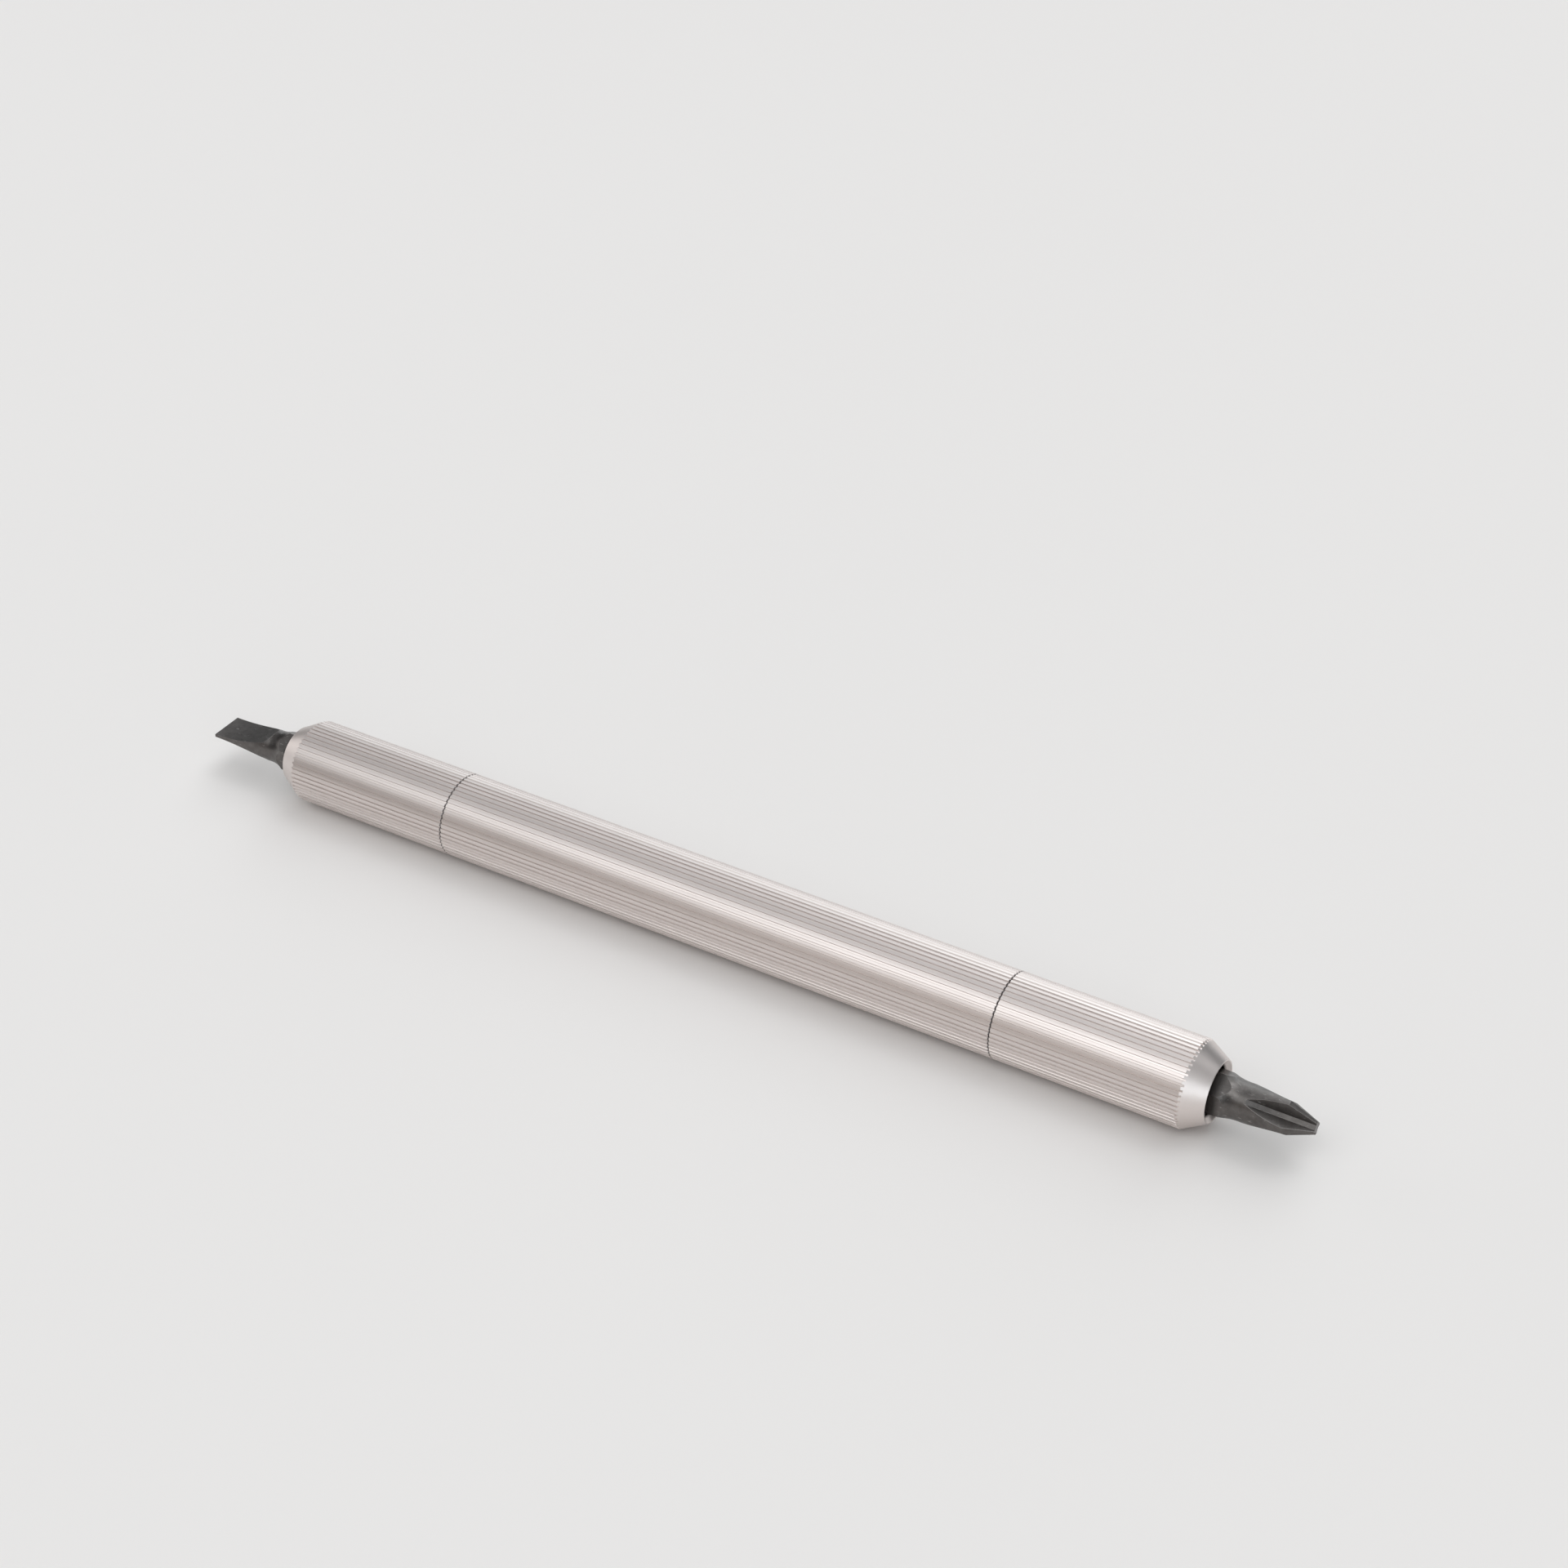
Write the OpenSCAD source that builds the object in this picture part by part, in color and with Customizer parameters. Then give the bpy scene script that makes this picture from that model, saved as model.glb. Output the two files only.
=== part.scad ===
// Pocket screwdriver: a fluted barrel with a fluted bit head plugged into each end.
// It lies along X with the Phillips end at +X and rests on the plane z = 0.

/* [Body] */
// Diameter over the lands between the flutes
body_d = 14; // [12.6:0.1:18]
// Length of the barrel, face to face
barrel_len = 100.4; // [70:0.2:140]
// Diameter of the bore through the barrel
bore_d = 8; // [7.6:0.1:8.6]
// Number of flutes round the body
flute_count = 52; // [24:2:64]
// Depth of a flute below the lands
flute_depth = 0.22; // [0.1:0.01:0.35]
// Width of a flute at the lands
flute_width = 0.4; // [0.3:0.01:0.5]
// Width of a flute's flat floor
flute_floor = 0.3; // [0.2:0.01:0.3]
// Chamfer on the edges that meet at a seam
seam_chamfer = 0.1; // [0.05:0.01:0.3]
// Gap between a head and the barrel
seam_gap = 0.1; // [0.05:0.01:0.3]

/* [Heads] */
// Length of a head from the seam to the rim of its nose
head_len = 34; // [28:0.1:44]
// Length of the smooth cone of the nose
nose_len = 3.6; // [3:0.1:4.5]
// Diameter of the rim at the tip of the nose
rim_d = 10; // [9.4:0.1:11]
// Width of the flat rim round the mouth
rim_width = 0.2; // [0.1:0.05:0.4]
// Diameter of the round mouth inside its countersink
mouth_d = 8; // [7.8:0.1:8.4]
// Depth of the mouth from the rim to the front of the steel socket
mouth_depth = 3; // [2:0.1:4]

/* [Bit socket] */
// Outer diameter of the steel socket, and of the spigot behind it
core_d = 10; // [9.4:0.1:11]
// Depth from the rim of the nose to the face of the magnet
socket_depth = 9.75; // [8:0.05:12]
// Diameter of the magnet
magnet_d = 6; // [4:0.1:6.2]
// Thickness of the magnet
magnet_len = 3; // [1.5:0.1:5]
// Clearance on each flat of the bit's hexagon
bit_clear = 0.05; // [0.02:0.01:0.1]

/* [Spigot] */
// Width across the flats of the hexagon that turns the head
spigot_af = 8; // [7.8:0.05:8.6]
// Length of that hexagon
spigot_hex_len = 6; // [4:0.1:10]
// Length of the round pilot beyond the hexagon
pilot_len = 4; // [3:0.1:6]
// Clearance of the hexagon and the pilot in the barrel
spigot_clear = 0.05; // [0.02:0.01:0.1]
// Thickness of the rubber ring on the pilot
ring_thickness = 0.9; // [0.7:0.05:1.2]
// Clearance on every side of the rubber ring and of pressed pieces
seat_clear = 0.02; // [0.01:0.01:0.05]

/* [Bits] */
// Width across the flats of a bit's shank, a quarter of an inch
bit_af = 6.35; // [6.2:0.01:6.4]
// Length of the Phillips bit
phillips_len = 25; // [22:0.1:32]
// Length of the slotted bit
slotted_len = 26; // [22:0.1:32]
// Distance from the shoulder of the hexagon to the tip of either bit
bit_nose_len = 14.3; // [13:0.1:16]
// Diameter of the round stem in front of the hexagon
stem_d = 6; // [5.4:0.1:6.2]
// Length of the concave neck between hexagon and stem
neck_len = 3; // [2:0.1:4]
// Chamfer on the back end of the hexagon
bit_chamfer = 0.6; // [0.3:0.05:1]

/* [Phillips tip] */
// Length of the tapered tip
cross_taper_len = 4.3; // [3.5:0.1:5]
// Diameter of the tip's end
cross_end_d = 2.2; // [1.8:0.1:2.6]
// Width of the flat floor of a cross flute
cross_floor_w = 0.7; // [0.4:0.05:1]
// Angle between a cross flute's wall and its middle plane
cross_wall_angle = 46; // [40:1:50]
// Height of a cross flute's floor above the axis at the end of the tip
cross_floor_h = 0.66; // [0.5:0.02:0.8]
// Slope of that floor along the tip
cross_floor_slope = 5.75; // [4:0.25:8]
// Radius of the cutter that runs out of the stem
cross_runout_r = 15.4; // [12:0.2:20]
// Turn of the cross about the axis, from the hexagon
cross_turn = 2; // [-10:1:10]

/* [Slotted tip] */
// Thickness of the blade at its edge
blade_edge = 0.5; // [0.4:0.05:1]
// Radius of the hollow-ground faces
blade_grind_r = 36; // [28:1:50]
// Length of the hollow grind from the edge
blade_grind_len = 9.8; // [8:0.1:10.5]
// Radius where a ground face rises to the stem
blade_rise_r = 2.4; // [1.8:0.1:3]
// Depth of the crease where that rise begins
blade_crease = 0.04; // [0.02:0.01:0.1]
// Diameter of the stem behind the blade, which widens to its edge
blade_waist_d = 5.6; // [5.2:0.1:5.9]

/* [Hidden] */
$fn = 96;
// Facets of the preview for circles much wider than the bit that they cut
wide_fn = 720;

aluminium = [0.70, 0.64, 0.61];
socket_steel = [0.42, 0.42, 0.43];
bright_steel = [0.66, 0.66, 0.67];
magnet_nickel = [0.74, 0.73, 0.71];
rubber_black = [0.06, 0.06, 0.06];
bit_oxide = [0.14, 0.13, 0.13];

// How far a cutting shape reaches past the face that it cuts
over = 1;
hex_sides = 6;
cross_wings = 4;

body_r = body_d / 2;
bore_r = bore_d / 2;
core_r = core_d / 2;
rim_r = rim_d / 2;
mouth_r = mouth_d / 2;
stem_r = stem_d / 2;
flute_step = 360 / flute_count;

// Places along a head, measured from its seam face
socket_front = head_len - mouth_depth;
magnet_front = head_len - socket_depth;
magnet_back = magnet_front - magnet_len;
spigot_len = spigot_hex_len + pilot_len;
ring_r = ring_thickness / 2;
pilot_r = bore_r - spigot_clear;
groove_w = ring_thickness + 2 * seat_clear;
groove_r = bore_r - 2 * seat_clear - ring_thickness;
ring_z = -spigot_hex_len - pilot_len / 2;

// Places along a bit, measured from its back end
bit_seat = magnet_front + bit_clear;
bit_corner_r = corner_radius(bit_af);
phillips_shoulder = phillips_len - bit_nose_len;
slotted_shoulder = slotted_len - bit_nose_len;

// The part is centred on its whole length, so a longer bit moves the barrel
half_barrel = barrel_len / 2;
head_seat = half_barrel + seam_gap;
front_reach = head_seat + bit_seat + phillips_len;
rear_reach = head_seat + bit_seat + slotted_len;
barrel_centre = (rear_reach - front_reach) / 2;

function corner_radius(across_flats) = across_flats / 2 / cos(180 / hex_sides);

// Radius of the arc that leaves a line and stands off it by a rise at the end of a run
function fillet_radius(run, rise) = (run * run + rise * rise) / (2 * rise);

// Stands what is built along +Z on the axis of the driver, pointing along +X
module along_axis(x) {
    translate([barrel_centre + x, 0, body_r])
        rotate([0, 90, 0])
            children();
}

// The same at the back end, pointing along -X
module along_axis_back(x) {
    translate([barrel_centre - x, 0, body_r])
        rotate([0, 0, 180])
            rotate([0, 90, 0])
                children();
}

module hex_bar(across_flats, length) {
    cylinder(r = corner_radius(across_flats), h = length, $fn = hex_sides);
}

// Cross-section of the body: round lands with steep, flat-floored flutes between them
module fluted_section() {
    half_floor = flute_floor / 2;
    flare = (flute_width / 2 - half_floor) / flute_depth;
    reach = half_floor + flare * (flute_depth + over);
    difference() {
        circle(r = body_r);
        for (i = [0 : flute_count - 1])
            rotate(i * flute_step)
                polygon([
                    [body_r - flute_depth, -half_floor],
                    [body_r + over, -reach],
                    [body_r + over, reach],
                    [body_r - flute_depth, half_floor]
                ]);
    }
}

module barrel() {
    pocket_len = spigot_hex_len + spigot_clear;
    pocket_af = spigot_af + 2 * spigot_clear;
    color(aluminium)
        along_axis(-half_barrel)
            difference() {
                intersection() {
                    linear_extrude(barrel_len)
                        fluted_section();
                    rotate_extrude()
                        polygon([
                            [0, 0],
                            [body_r - seam_chamfer, 0],
                            [body_r, seam_chamfer],
                            [body_r, barrel_len - seam_chamfer],
                            [body_r - seam_chamfer, barrel_len],
                            [0, barrel_len]
                        ]);
                }
                translate([0, 0, -over])
                    cylinder(r = bore_r, h = barrel_len + 2 * over);
                translate([0, 0, -over])
                    hex_bar(pocket_af, pocket_len - seam_gap + over);
                translate([0, 0, barrel_len - pocket_len + seam_gap])
                    hex_bar(pocket_af, pocket_len + over);
            }
}

// Fluted sleeve with a smooth conical nose and a countersunk round mouth
module head_sleeve() {
    sink_r = rim_r - rim_width;
    sink_depth = sink_r - mouth_r;
    difference() {
        intersection() {
            linear_extrude(head_len)
                fluted_section();
            rotate_extrude()
                polygon([
                    [0, 0],
                    [body_r - seam_chamfer, 0],
                    [body_r, seam_chamfer],
                    [body_r, head_len - nose_len],
                    [rim_r, head_len],
                    [0, head_len]
                ]);
        }
        rotate_extrude()
            polygon([
                [0, -over],
                [core_r, -over],
                [core_r, socket_front],
                [mouth_r, socket_front],
                [mouth_r, head_len - sink_depth],
                [sink_r + over, head_len + over],
                [0, head_len + over]
            ]);
    }
}

// Steel bush with a hexagon broached right through it
module socket_bush() {
    socket_len = socket_front - magnet_back - 2 * seat_clear;
    lead_r = corner_radius(bit_af) + 2 * bit_clear;
    difference() {
        translate([0, 0, magnet_back + seat_clear])
            cylinder(r = core_r - seat_clear, h = socket_len);
        translate([0, 0, magnet_back - over])
            hex_bar(bit_af + 2 * bit_clear, socket_len + 2 * over);
        translate([0, 0, socket_front - seat_clear - (lead_r - bit_af / 2)])
            cylinder(r1 = bit_af / 2, r2 = lead_r + over, h = lead_r + over - bit_af / 2);
    }
}

module magnet_disc() {
    translate([0, 0, magnet_back])
        cylinder(r = magnet_d / 2, h = magnet_len);
}

// Plug behind the socket: round in the head, hexagonal in the barrel, then a grooved pilot
module spigot_plug() {
    lead = pilot_r - groove_r;
    difference() {
        union() {
            cylinder(r = core_r - seat_clear, h = magnet_back - seat_clear);
            translate([0, 0, -spigot_hex_len])
                hex_bar(spigot_af, spigot_hex_len + over);
            translate([0, 0, -spigot_len])
                cylinder(r1 = pilot_r - lead / 2, r2 = pilot_r, h = lead / 2);
            translate([0, 0, -spigot_len + lead / 2])
                cylinder(r = pilot_r, h = pilot_len);
        }
        rotate_extrude()
            translate([groove_r, ring_z - groove_w / 2])
                square([bore_r, groove_w]);
    }
}

module o_ring() {
    translate([0, 0, ring_z])
        rotate_extrude()
            translate([groove_r + seat_clear + ring_r, 0])
                circle(r = ring_r);
}

// Hexagonal shank, concave neck and round stem that a bit is cut from
module bit_blank(shoulder, length, waist_r) {
    neck_end = shoulder + neck_len;
    fillet_r = fillet_radius(neck_len, bit_corner_r - waist_r);
    intersection() {
        hex_bar(bit_af, neck_end);
        rotate_extrude()
            difference() {
                polygon([
                    [0, 0],
                    [bit_corner_r - bit_chamfer, 0],
                    [bit_corner_r, bit_chamfer],
                    [bit_corner_r, neck_end],
                    [0, neck_end]
                ]);
                translate([waist_r + fillet_r, neck_end])
                    circle(r = fillet_r);
            }
    }
    translate([0, 0, neck_end])
        cylinder(r1 = waist_r, r2 = stem_r, h = length - neck_end);
}

// Path of the cutter that makes one flute of the cross: straight at the tip, then running out
module cross_cutter() {
    wall = tan(cross_wall_angle);
    height = stem_r + over;
    half_floor = cross_floor_w / 2;
    straight = cross_taper_len;
    translate([0, 0, phillips_len])
        translate([cross_floor_h, 0, 0])
            rotate([0, -cross_floor_slope, 0]) {
                translate([0, 0, -straight])
                    linear_extrude(straight + over)
                        polygon([
                            [0, -half_floor],
                            [height, -half_floor - height * wall],
                            [height, half_floor + height * wall],
                            [0, half_floor]
                        ]);
                translate([cross_runout_r, 0, -straight])
                    rotate([90, 0, 0])
                        rotate_extrude()
                            polygon([
                                [cross_runout_r - height, -half_floor - height * wall],
                                [cross_runout_r, -half_floor],
                                [cross_runout_r, half_floor],
                                [cross_runout_r - height, half_floor + height * wall]
                            ]);
            }
}

module phillips_shape() {
    taper_start = phillips_len - cross_taper_len;
    difference() {
        intersection() {
            bit_blank(phillips_shoulder, phillips_len, stem_r);
            rotate_extrude()
                polygon([
                    [0, 0],
                    [bit_corner_r + over, 0],
                    [bit_corner_r + over, taper_start - neck_len],
                    [stem_r, taper_start],
                    [cross_end_d / 2, phillips_len],
                    [0, phillips_len]
                ]);
        }
        for (i = [0 : cross_wings - 1])
            rotate((i + 1 / 2) * 360 / cross_wings + cross_turn)
                cross_cutter();
    }
}

// What the grinding wheel takes off one face of the blade, and its run-out up the stem
module blade_cutter() {
    wheel_x = blade_edge / 2 + blade_grind_r;
    lean = asin(blade_grind_len / blade_grind_r);
    offset_r = blade_grind_r - blade_rise_r + blade_crease;
    intersection() {
        translate([wheel_x, stem_d, slotted_len])
            rotate([90, 0, 0])
                cylinder(r = blade_grind_r, h = 2 * stem_d, $fn = wide_fn);
        translate([0, -stem_d, slotted_len - blade_grind_len])
            cube([stem_d, 2 * stem_d, blade_grind_len + over]);
    }
    translate([wheel_x - offset_r * cos(lean), stem_d, slotted_len - offset_r * sin(lean)])
        rotate([90, 0, 0])
            cylinder(r = blade_rise_r, h = 2 * stem_d);
}

module slotted_shape() {
    difference() {
        bit_blank(slotted_shoulder, slotted_len, blade_waist_d / 2);
        blade_cutter();
        mirror([1, 0, 0])
            blade_cutter();
    }
}

module front_head() {
    color(aluminium)
        along_axis(head_seat)
            head_sleeve();
}

module front_socket() {
    color(socket_steel)
        along_axis(head_seat)
            socket_bush();
}

module front_magnet() {
    color(magnet_nickel)
        along_axis(head_seat)
            magnet_disc();
}

module front_spigot() {
    color(bright_steel)
        along_axis(head_seat)
            spigot_plug();
}

module front_o_ring() {
    color(rubber_black)
        along_axis(head_seat)
            o_ring();
}

module phillips_bit() {
    color(bit_oxide)
        along_axis(head_seat + bit_seat)
            phillips_shape();
}

module rear_head() {
    color(aluminium)
        along_axis_back(head_seat)
            head_sleeve();
}

module rear_socket() {
    color(socket_steel)
        along_axis_back(head_seat)
            socket_bush();
}

module rear_magnet() {
    color(magnet_nickel)
        along_axis_back(head_seat)
            magnet_disc();
}

module rear_spigot() {
    color(bright_steel)
        along_axis_back(head_seat)
            spigot_plug();
}

module rear_o_ring() {
    color(rubber_black)
        along_axis_back(head_seat)
            o_ring();
}

module slotted_bit() {
    color(bit_oxide)
        along_axis_back(head_seat + bit_seat)
            slotted_shape();
}

barrel();
front_head();
front_socket();
front_magnet();
front_spigot();
front_o_ring();
phillips_bit();
rear_head();
rear_socket();
rear_magnet();
rear_spigot();
rear_o_ring();
slotted_bit();
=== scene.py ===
import bpy
import math
from mathutils import Matrix, Vector


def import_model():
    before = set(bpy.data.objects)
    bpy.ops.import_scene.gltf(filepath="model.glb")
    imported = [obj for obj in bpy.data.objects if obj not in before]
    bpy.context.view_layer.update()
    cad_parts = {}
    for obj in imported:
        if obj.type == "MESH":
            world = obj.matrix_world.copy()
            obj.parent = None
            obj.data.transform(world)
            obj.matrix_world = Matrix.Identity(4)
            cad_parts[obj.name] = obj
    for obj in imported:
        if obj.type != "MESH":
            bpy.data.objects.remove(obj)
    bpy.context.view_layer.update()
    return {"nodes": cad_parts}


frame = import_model()
MM = 0.001

# Heights and radii in the CAD frame, in millimetres
AXIS_HEIGHT = 7.0
LAND_RADIUS = 7.0
FLUTE_RADIUS = 6.78
BORE_RADIUS = 4.0

# Distances along the axis from the middle of the barrel, in millimetres
BARREL_MIDDLE = 0.5
SEAM = 50.25
NOSE_START = 80.7
NOSE_RIM = 84.3

# The photo's reflections show flute walls that lean this far from the lands, in degrees.
# The walls of the meshes are steeper, and only their shading is turned.
FLUTES = 52
WALL_LEAN = 61.0

# Bands of the flutes by distance from the axis, in millimetres
FLOOR_BOTTOM = FLUTE_RADIUS - 0.02
WALL_BOTTOM = FLUTE_RADIUS + 0.0175
WALL_TOP = LAND_RADIUS - 0.025
BAND_FADE = 0.0125
NOSE_FADE = 0.3

# Painted shade at a seam: full and faded half width, and the depths where it starts and is full
SEAM_FULL = 0.11
SEAM_FADED = 0.17
SEAM_BOTTOM = FLUTE_RADIUS - 0.3
SEAM_TOP = FLUTE_RADIUS - 0.1

# Colours of the aluminium
SKIN_DARK = (0.735, 0.673, 0.647)
SKIN_LIGHT = (0.765, 0.703, 0.677)
# Painted light: a lighter colour on the flute floors that stands in for the light they catch
FLUTE_FLOOR_PAINTED_LIGHT = (0.81, 0.745, 0.715)
# Painted shade: a darker colour on the flute walls for the shade inside the flutes
FLUTE_WALL_PAINTED_SHADE = (0.67, 0.61, 0.585)
# Painted shade in the seam gaps between the barrel and the heads
SEAM_PAINTED_SHADE = (0.34, 0.31, 0.30)
# Painted shade in the bore of the heads
BORE_SHADE = (0.20, 0.18, 0.17)

# Colours of the black oxide
OXIDE_DARK = (0.105, 0.097, 0.092)
OXIDE_LIGHT = (0.155, 0.144, 0.138)
OXIDE_RUBBED = (0.42, 0.40, 0.39)
OXIDE_EDGE = (0.38, 0.36, 0.35)
# Painted shadow: the nose rim's shadow on the bit near the mouth of the socket
OXIDE_RIM_SHADOW = (0.048, 0.044, 0.042)

# Colours of the other pieces and of the stage
SOCKET_COLOURS = ((0.30, 0.30, 0.31), (0.40, 0.40, 0.41))
SPIGOT_COLOURS = ((0.55, 0.55, 0.56), (0.64, 0.64, 0.65))
NICKEL_COLOURS = ((0.66, 0.64, 0.60), (0.72, 0.70, 0.66))
RUBBER_COLOURS = ((0.012, 0.012, 0.012), (0.03, 0.03, 0.03))
FLOOR_COLOURS = ((0.865, 0.836, 0.816), (0.885, 0.856, 0.836))
BACKDROP = (0.80, 0.785, 0.783)
FLOOR_HALF = 3.0

# Camera fitted to the photo's seams and nose rims, in metres and millimetres of lens
CAMERA_PLACE = (0.19486, -0.30754, 0.28720)
CAMERA_FORWARD = (-0.41902, 0.70235, -0.57543)
CAMERA_UP = (-0.29482, 0.49417, 0.81785)
CAMERA_LENS = 66.94
CAMERA_SENSOR = 36
CAMERA_CLIP = (0.01, 20)

# Soft lights of the room: name, azimuth from +X, elevation, half width and fade, all in
# degrees, colour and strength
SOFT_LIGHTS = [
    ("overhead", 35, 77, 17, 9, (0.96, 0.98, 1.0), 1.85),
    ("overhead_back", 70, 61, 15, 9, (0.95, 0.98, 1.0), 1.6),
    ("overhead_front", 288, 61, 14, 9, (0.97, 0.99, 1.0), 2.35),
    ("back", 108, 8, 23, 14, (0.92, 0.97, 1.0), 1.32),
    ("back_mid", 94, 37, 12, 9, (0.93, 0.98, 1.0), 1.95),
    ("left_low", 178, 6, 14, 9, (1.0, 0.98, 0.97), 1.3),
    ("left_back", 130, 51, 14, 10, (0.97, 0.98, 1.0), 0.95),
    ("top_left", 195, 62, 15, 10, (0.97, 0.98, 1.0), 0.6),
    ("front_left", 244, 44, 16, 9, (0.97, 0.99, 1.0), 1.75),
    ("front_right", 314, 14, 17, 11, (0.90, 0.96, 1.0), 1.7),
    ("right", 333, 42, 14, 10, (0.95, 0.98, 1.0), 0.5),
    ("front_low", 252, 13, 14, 9, (1.0, 0.90, 0.84), 0.55),
]


def feed(tree, socket, value):
    """Another node's output, a constant or a colour without alpha into a node's input."""
    if isinstance(value, bpy.types.NodeSocket):
        tree.links.new(value, socket)
    elif socket.type == "RGBA":
        socket.default_value = (*value, 1)
    else:
        socket.default_value = value


def wire(tree, node, **inputs):
    """Values into a node's inputs by their names, with _ for each space."""
    for key, value in inputs.items():
        feed(tree, node.inputs[key.replace("_", " ")], value)


def add(tree, kind, *inputs, **settings):
    """A node with its settings, and with values for its inputs in their order."""
    node = tree.nodes.new(kind)
    for key, value in settings.items():
        setattr(node, key, value)
    for socket, value in zip(node.inputs, inputs):
        feed(tree, socket, value)
    return node


def new_material(name):
    """A node material with its shader and output only: the material, its tree and the shader."""
    mat = bpy.data.materials.new(name)
    mat.use_nodes = True
    tree = mat.node_tree
    tree.nodes.clear()
    shader = add(tree, "ShaderNodeBsdfPrincipled")
    add(tree, "ShaderNodeOutputMaterial", shader.outputs["BSDF"])
    return mat, tree, shader


def number_math(tree, operation, *values):
    """The number that an operation makes of numbers."""
    return add(tree, "ShaderNodeMath", *values, operation=operation).outputs["Value"]


def vector_math(tree, operation, *values):
    """The vector that an operation makes of vectors."""
    return add(tree, "ShaderNodeVectorMath", *values, operation=operation).outputs["Vector"]


def vector_number(tree, operation, *values):
    """The number that an operation makes of vectors."""
    return add(tree, "ShaderNodeVectorMath", *values, operation=operation).outputs["Value"]


def scaled(tree, vector, factor):
    """A vector times a number."""
    node = add(tree, "ShaderNodeVectorMath", vector, operation="SCALE")
    wire(tree, node, Scale=factor)
    return node.outputs["Vector"]


def product(tree, *values):
    """All the numbers multiplied."""
    total = values[0]
    for value in values[1:]:
        total = number_math(tree, "MULTIPLY", total, value)
    return total


def object_space(tree, scale=(1, 1, 1), shift=(0, 0, 0)):
    """CAD coordinates in millimetres, stretched by scale and then moved by shift."""
    coord = add(tree, "ShaderNodeTexCoord")
    mapping = add(tree, "ShaderNodeMapping")
    to_mm = [s / MM for s in scale]
    wire(tree, mapping, Vector=coord.outputs["Object"], Location=shift, Scale=to_mm)
    return mapping.outputs["Vector"]


def across_axis(tree):
    """Place across the driver's axis, with 0 on the axis."""
    return object_space(tree, (0, 1, 1), (0, 0, -AXIS_HEIGHT))


def from_axis(tree):
    """Distance from the driver's axis."""
    return vector_number(tree, "LENGTH", across_axis(tree))


def from_middle(tree):
    """Distance along the axis from the middle of the barrel."""
    along = object_space(tree, (1, 0, 0), (-BARREL_MIDDLE, 0, 0))
    return vector_number(tree, "LENGTH", along)


def noise(tree, vector, scale=1.0, detail=2.0, rough=0.5):
    """Soft noise about 0.5."""
    node = add(tree, "ShaderNodeTexNoise")
    wire(tree, node, Vector=vector, Scale=scale, Detail=detail, Roughness=rough)
    return node.outputs["Fac"]


def remap(tree, value, low, high, to_low=0.0, to_high=1.0, curve="LINEAR"):
    """A number from the range low to high brought to the range to_low to to_high, and clamped."""
    node = add(tree, "ShaderNodeMapRange", value, low, high, to_low, to_high)
    node.interpolation_type = curve
    return node.outputs["Result"]


def mix_colour(tree, factor, one, two):
    """Mix of two colours, each a tuple or a socket."""
    node = add(tree, "ShaderNodeMix", factor, data_type="RGBA")
    feed(tree, node.inputs[6], one)
    feed(tree, node.inputs[7], two)
    return node.outputs[2]


def mix_normal(tree, factor, one, two):
    """Mix of two directions."""
    node = add(tree, "ShaderNodeMix", factor, data_type="VECTOR")
    feed(tree, node.inputs[4], one)
    feed(tree, node.inputs[5], two)
    return vector_math(tree, "NORMALIZE", node.outputs[1])


def bump(tree, height, strength, distance, normal=None):
    """Normals of the surface with a relief of distance millimetres on it."""
    node = add(tree, "ShaderNodeBump")
    wire(tree, node, Strength=strength, Distance=distance * MM, Height=height)
    if normal is not None:
        wire(tree, node, Normal=normal)
    return node.outputs["Normal"]


def rounded(tree, radius):
    """Normals of the surface with its edges rounded by radius millimetres."""
    node = add(tree, "ShaderNodeBevel", samples=6)
    wire(tree, node, Radius=radius * MM)
    return node.outputs["Normal"]


def edge_mask(tree, radius):
    """1 along edges and 0 on open faces: how far a rounded normal leans from the true one."""
    true_normal = add(tree, "ShaderNodeNewGeometry").outputs["Normal"]
    alike = vector_number(tree, "DOT_PRODUCT", rounded(tree, radius), true_normal)
    return remap(tree, alike, 0.995, 0.80)


def flute_band(tree, inner, outer):
    """1 on the flutes between two distances from the axis and 0 elsewhere, the noses too."""
    radius = from_axis(tree)
    rise = remap(tree, radius, inner - BAND_FADE, inner + BAND_FADE)
    fall = remap(tree, radius, outer + BAND_FADE, outer - BAND_FADE)
    fluted = remap(tree, from_middle(tree), NOSE_START, NOSE_START - NOSE_FADE)
    return product(tree, rise, fall, fluted)


def wall_normals(tree):
    """Normals that lean by WALL_LEAN from the lands towards the middle of the nearest flute."""
    place = across_axis(tree)
    outward = vector_math(tree, "NORMALIZE", place)
    around = vector_math(tree, "CROSS_PRODUCT", (1, 0, 0), outward)
    split = add(tree, "ShaderNodeSeparateXYZ", place)
    turn = number_math(tree, "ARCTAN2", split.outputs["Z"], split.outputs["Y"])
    phase = number_math(tree, "MULTIPLY_ADD", turn, FLUTES / (2 * math.pi), 0.5)
    share = number_math(tree, "SUBTRACT", number_math(tree, "FRACT", phase), 0.5)
    side = number_math(tree, "SIGN", share)
    slope = number_math(tree, "MULTIPLY", side, -math.tan(math.radians(WALL_LEAN)))
    leaning = vector_math(tree, "ADD", outward, scaled(tree, around, slope))
    to_world = add(tree, "ShaderNodeVectorTransform", vector_math(tree, "NORMALIZE", leaning))
    to_world.vector_type = "NORMAL"
    to_world.convert_from = "OBJECT"
    to_world.convert_to = "WORLD"
    return to_world.outputs["Vector"]


def seam_shade_band(tree):
    """1 in the narrow outer band of chamfers at a seam, where shade is painted, and 0 elsewhere.
    """
    place = from_middle(tree)
    rise = remap(tree, place, SEAM - SEAM_FADED, SEAM - SEAM_FULL)
    fall = remap(tree, place, SEAM + SEAM_FADED, SEAM + SEAM_FULL)
    outer = remap(tree, from_axis(tree), SEAM_BOTTOM, SEAM_TOP)
    return product(tree, rise, fall, outer)


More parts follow.
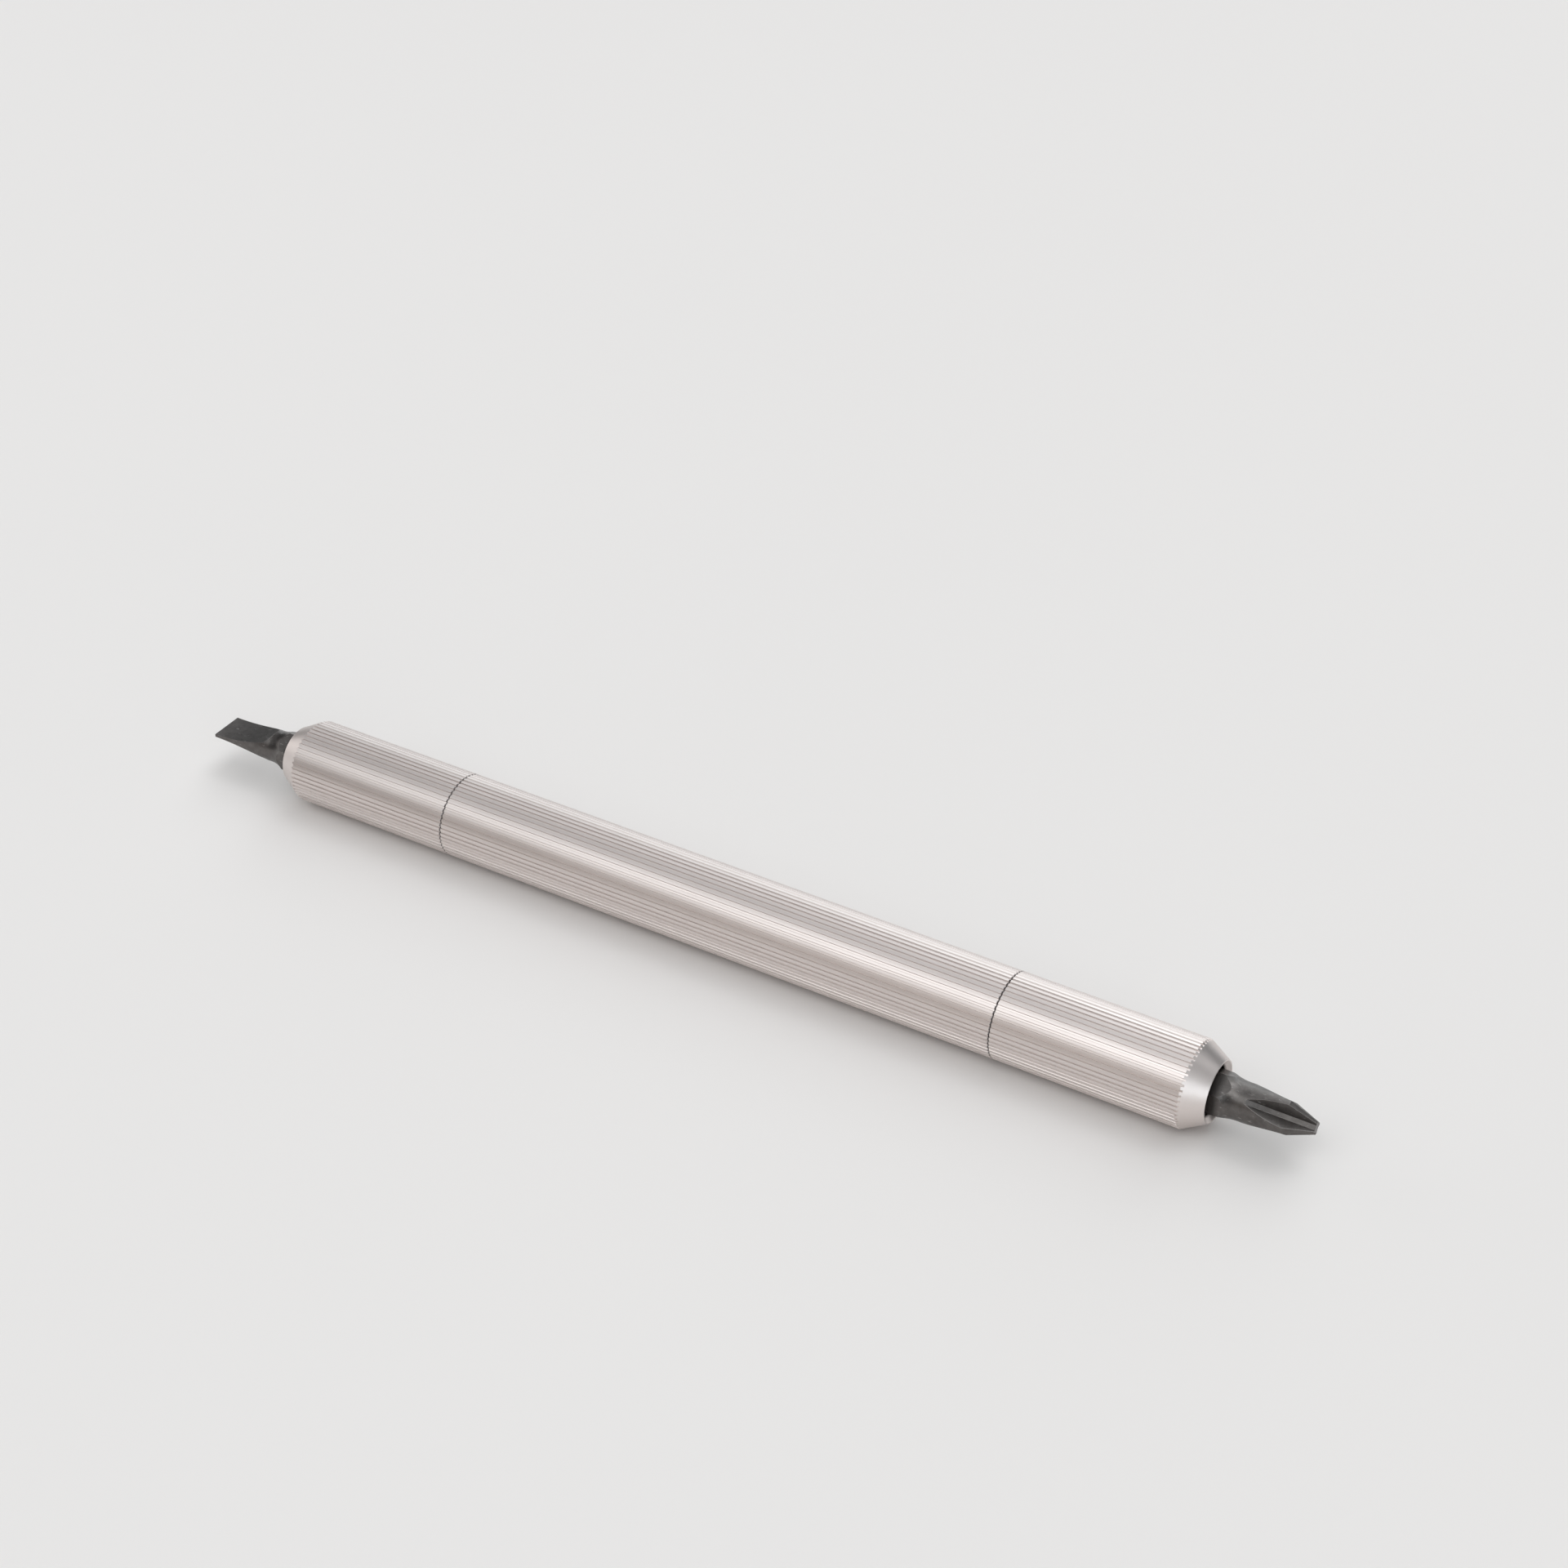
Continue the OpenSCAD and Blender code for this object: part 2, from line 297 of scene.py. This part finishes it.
def aluminium():
    """Blasted and clear anodised: satin, with a fine grain and faint lengthwise streaks, painted
    light on the flute floors, and painted shade on the flute walls, in the seams and in the bore."""
    mat, tree, shader = new_material("satin_aluminium")
    cloud = remap(tree, noise(tree, object_space(tree), 0.12, detail=3.0), 0.3, 0.7)
    walls = flute_band(tree, WALL_BOTTOM, WALL_TOP)
    floors = flute_band(tree, FLOOR_BOTTOM, WALL_BOTTOM)
    bore = remap(tree, from_axis(tree), BORE_RADIUS + 0.25, BORE_RADIUS + 0.05)
    colour = mix_colour(tree, cloud, SKIN_DARK, SKIN_LIGHT)
    # painted light on the flute floors
    colour = mix_colour(tree, floors, colour, FLUTE_FLOOR_PAINTED_LIGHT)
    # painted shade on the flute walls
    colour = mix_colour(tree, walls, colour, FLUTE_WALL_PAINTED_SHADE)
    # painted shade at the seams
    colour = mix_colour(tree, seam_shade_band(tree), colour, SEAM_PAINTED_SHADE)
    # painted shade in the bore
    colour = mix_colour(tree, bore, colour, BORE_SHADE)
    streak = noise(tree, object_space(tree, (0.05, 5.0, 5.0)), detail=3.0)
    roughness = remap(tree, streak, 0.25, 0.75, 0.33, 0.40)
    grain = noise(tree, object_space(tree), 14.0)
    smooth = mix_normal(tree, walls, rounded(tree, 0.04), wall_normals(tree))
    normal = bump(tree, grain, 0.12, 0.004, smooth)
    wire(tree, shader, Metallic=1.0, Base_Color=colour, Roughness=roughness, Normal=normal)
    return mat


def black_oxide():
    """Dark oxide on hardened steel: faint blotches, rubbed spots and bare edges, and a painted
    shadow of the nose rim near the mouth, where the bit sits in the socket."""
    mat, tree, shader = new_material("black_oxide_steel")
    blotch = remap(tree, noise(tree, object_space(tree), 0.9, detail=4.0, rough=0.6), 0.3, 0.7)
    spots = noise(tree, object_space(tree, (0.7, 1.8, 1.8)), detail=3.0, rough=0.6)
    # painted shadow of the nose rim on the bit, full to 0.5 mm past the rim and gone at 1.5 mm
    past_rim_shadow = remap(tree, from_middle(tree), NOSE_RIM + 0.5, NOSE_RIM + 1.5)
    colour = mix_colour(tree, blotch, OXIDE_DARK, OXIDE_LIGHT)
    colour = mix_colour(tree, remap(tree, spots, 0.62, 0.76, 0.0, 0.7), colour, OXIDE_RUBBED)
    colour = mix_colour(tree, edge_mask(tree, 0.08), colour, OXIDE_EDGE)
    # painted shadow of the nose rim near the socket
    colour = mix_colour(tree, past_rim_shadow, OXIDE_RIM_SHADOW, colour)
    lines = noise(tree, object_space(tree, (9.0, 1.5, 1.5)), detail=3.0)
    roughness = remap(tree, lines, 0.25, 0.75, 0.26, 0.40)
    height = noise(tree, object_space(tree), 5.0, detail=3.0)
    normal = bump(tree, height, 0.22, 0.02, rounded(tree, 0.06))
    wire(tree, shader, Metallic=0.85, Base_Color=colour, Roughness=roughness, Normal=normal)
    return mat


def turned_steel(name, colours, rough):
    """Bright steel with the fine rings that a lathe leaves across the axis."""
    mat, tree, shader = new_material(name)
    rings = noise(tree, object_space(tree, (12.0, 0.4, 0.4)))
    colour = mix_colour(tree, remap(tree, rings, 0.3, 0.7), *colours)
    roughness = remap(tree, rings, 0.2, 0.8, rough - 0.06, rough + 0.06)
    normal = bump(tree, rings, 0.15, 0.01, rounded(tree, 0.05))
    wire(tree, shader, Metallic=1.0, Base_Color=colour, Roughness=roughness, Normal=normal)
    return mat


def ring_rubber():
    """Matt black rubber, finely speckled."""
    mat, tree, shader = new_material("ring_rubber")
    speckle = noise(tree, object_space(tree), 6.0, detail=3.0)
    colour = mix_colour(tree, speckle, *RUBBER_COLOURS)
    roughness = remap(tree, speckle, 0.3, 0.7, 0.55, 0.7)
    normal = bump(tree, speckle, 0.2, 0.01)
    wire(tree, shader, Base_Color=colour, Roughness=roughness, Normal=normal)
    return mat


def finish_nodes():
    """Each CAD node gets its one material."""
    metal, oxide = aluminium(), black_oxide()
    finish = {
        "barrel": metal,
        "front_head": metal,
        "rear_head": metal,
        "phillips_bit": oxide,
        "slotted_bit": oxide,
    }
    inner = {
        "socket": turned_steel("socket_steel", SOCKET_COLOURS, 0.35),
        "spigot": turned_steel("spigot_steel", SPIGOT_COLOURS, 0.28),
        "magnet": turned_steel("magnet_nickel", NICKEL_COLOURS, 0.18),
        "o_ring": ring_rubber(),
    }
    for end in ("front", "rear"):
        for piece, mat in inner.items():
            finish[end + "_" + piece] = mat
    for node, mat in finish.items():
        slots = frame["nodes"][node].data.materials
        slots.clear()
        slots.append(mat)


def floor():
    """Pale seamless floor."""
    mesh = bpy.data.meshes.new("floor")
    corners = [(-1, -1), (1, -1), (1, 1), (-1, 1)]
    places = [(x * FLOOR_HALF, y * FLOOR_HALF, 0) for x, y in corners]
    mesh.from_pydata(places, [], [(0, 1, 2, 3)])
    obj = bpy.data.objects.new("floor", mesh)
    bpy.context.scene.collection.objects.link(obj)
    mat, tree, shader = new_material("pale_floor")
    tint = noise(tree, object_space(tree), 0.004)
    colour = mix_colour(tree, tint, *FLOOR_COLOURS)
    wire(tree, shader, Base_Color=colour, Roughness=0.9, Specular_IOR_Level=0.0)
    mesh.materials.append(mat)


def camera():
    """The fitted camera."""
    data = bpy.data.cameras.new("camera")
    data.sensor_fit = "HORIZONTAL"
    data.sensor_width = CAMERA_SENSOR
    data.lens = CAMERA_LENS
    data.clip_start, data.clip_end = CAMERA_CLIP
    obj = bpy.data.objects.new("camera", data)
    bpy.context.scene.collection.objects.link(obj)
    forward = Vector(CAMERA_FORWARD).normalized()
    up = Vector(CAMERA_UP).normalized()
    right = forward.cross(up)
    turn = Matrix((right, up, -forward)).transposed().to_4x4()
    obj.matrix_world = Matrix.Translation(CAMERA_PLACE) @ turn
    bpy.context.scene.camera = obj


def aim(azimuth, elevation):
    """Unit vector from azimuth and elevation in degrees."""
    a, e = math.radians(azimuth), math.radians(elevation)
    return Vector((math.cos(e) * math.cos(a), math.cos(e) * math.sin(a), math.sin(e)))


def background(tree, colour, strength, label):
    """A light of the world."""
    node = add(tree, "ShaderNodeBackground", colour, strength, label=label)
    return node.outputs["Background"]


def world():
    """Soft lights in a dark room; the camera itself sees a plain pale backdrop."""
    made = bpy.data.worlds.new("room")
    made.use_nodes = True
    tree = made.node_tree
    tree.nodes.clear()
    towards = add(tree, "ShaderNodeTexCoord").outputs["Generated"]
    total = None
    for name, azimuth, elevation, half, fade, colour, strength in SOFT_LIGHTS:
        near = vector_number(tree, "DOT_PRODUCT", towards, aim(azimuth, elevation))
        faded = math.cos(math.radians(half + fade))
        full = math.cos(math.radians(half - fade))
        glow = remap(tree, near, faded, full, 0.0, strength, "SMOOTHSTEP")
        light = background(tree, colour, glow, name)
        if total is None:
            total = light
        else:
            total = add(tree, "ShaderNodeAddShader", total, light).outputs["Shader"]
    seen = add(tree, "ShaderNodeLightPath").outputs["Is Camera Ray"]
    plain = background(tree, BACKDROP, 1.0, "backdrop")
    pick = add(tree, "ShaderNodeMixShader", seen, total, plain)
    add(tree, "ShaderNodeOutputWorld", pick.outputs["Shader"])
    bpy.context.scene.world = made


finish_nodes()
floor()
camera()
world()
bpy.context.scene.view_settings.view_transform = "Standard"
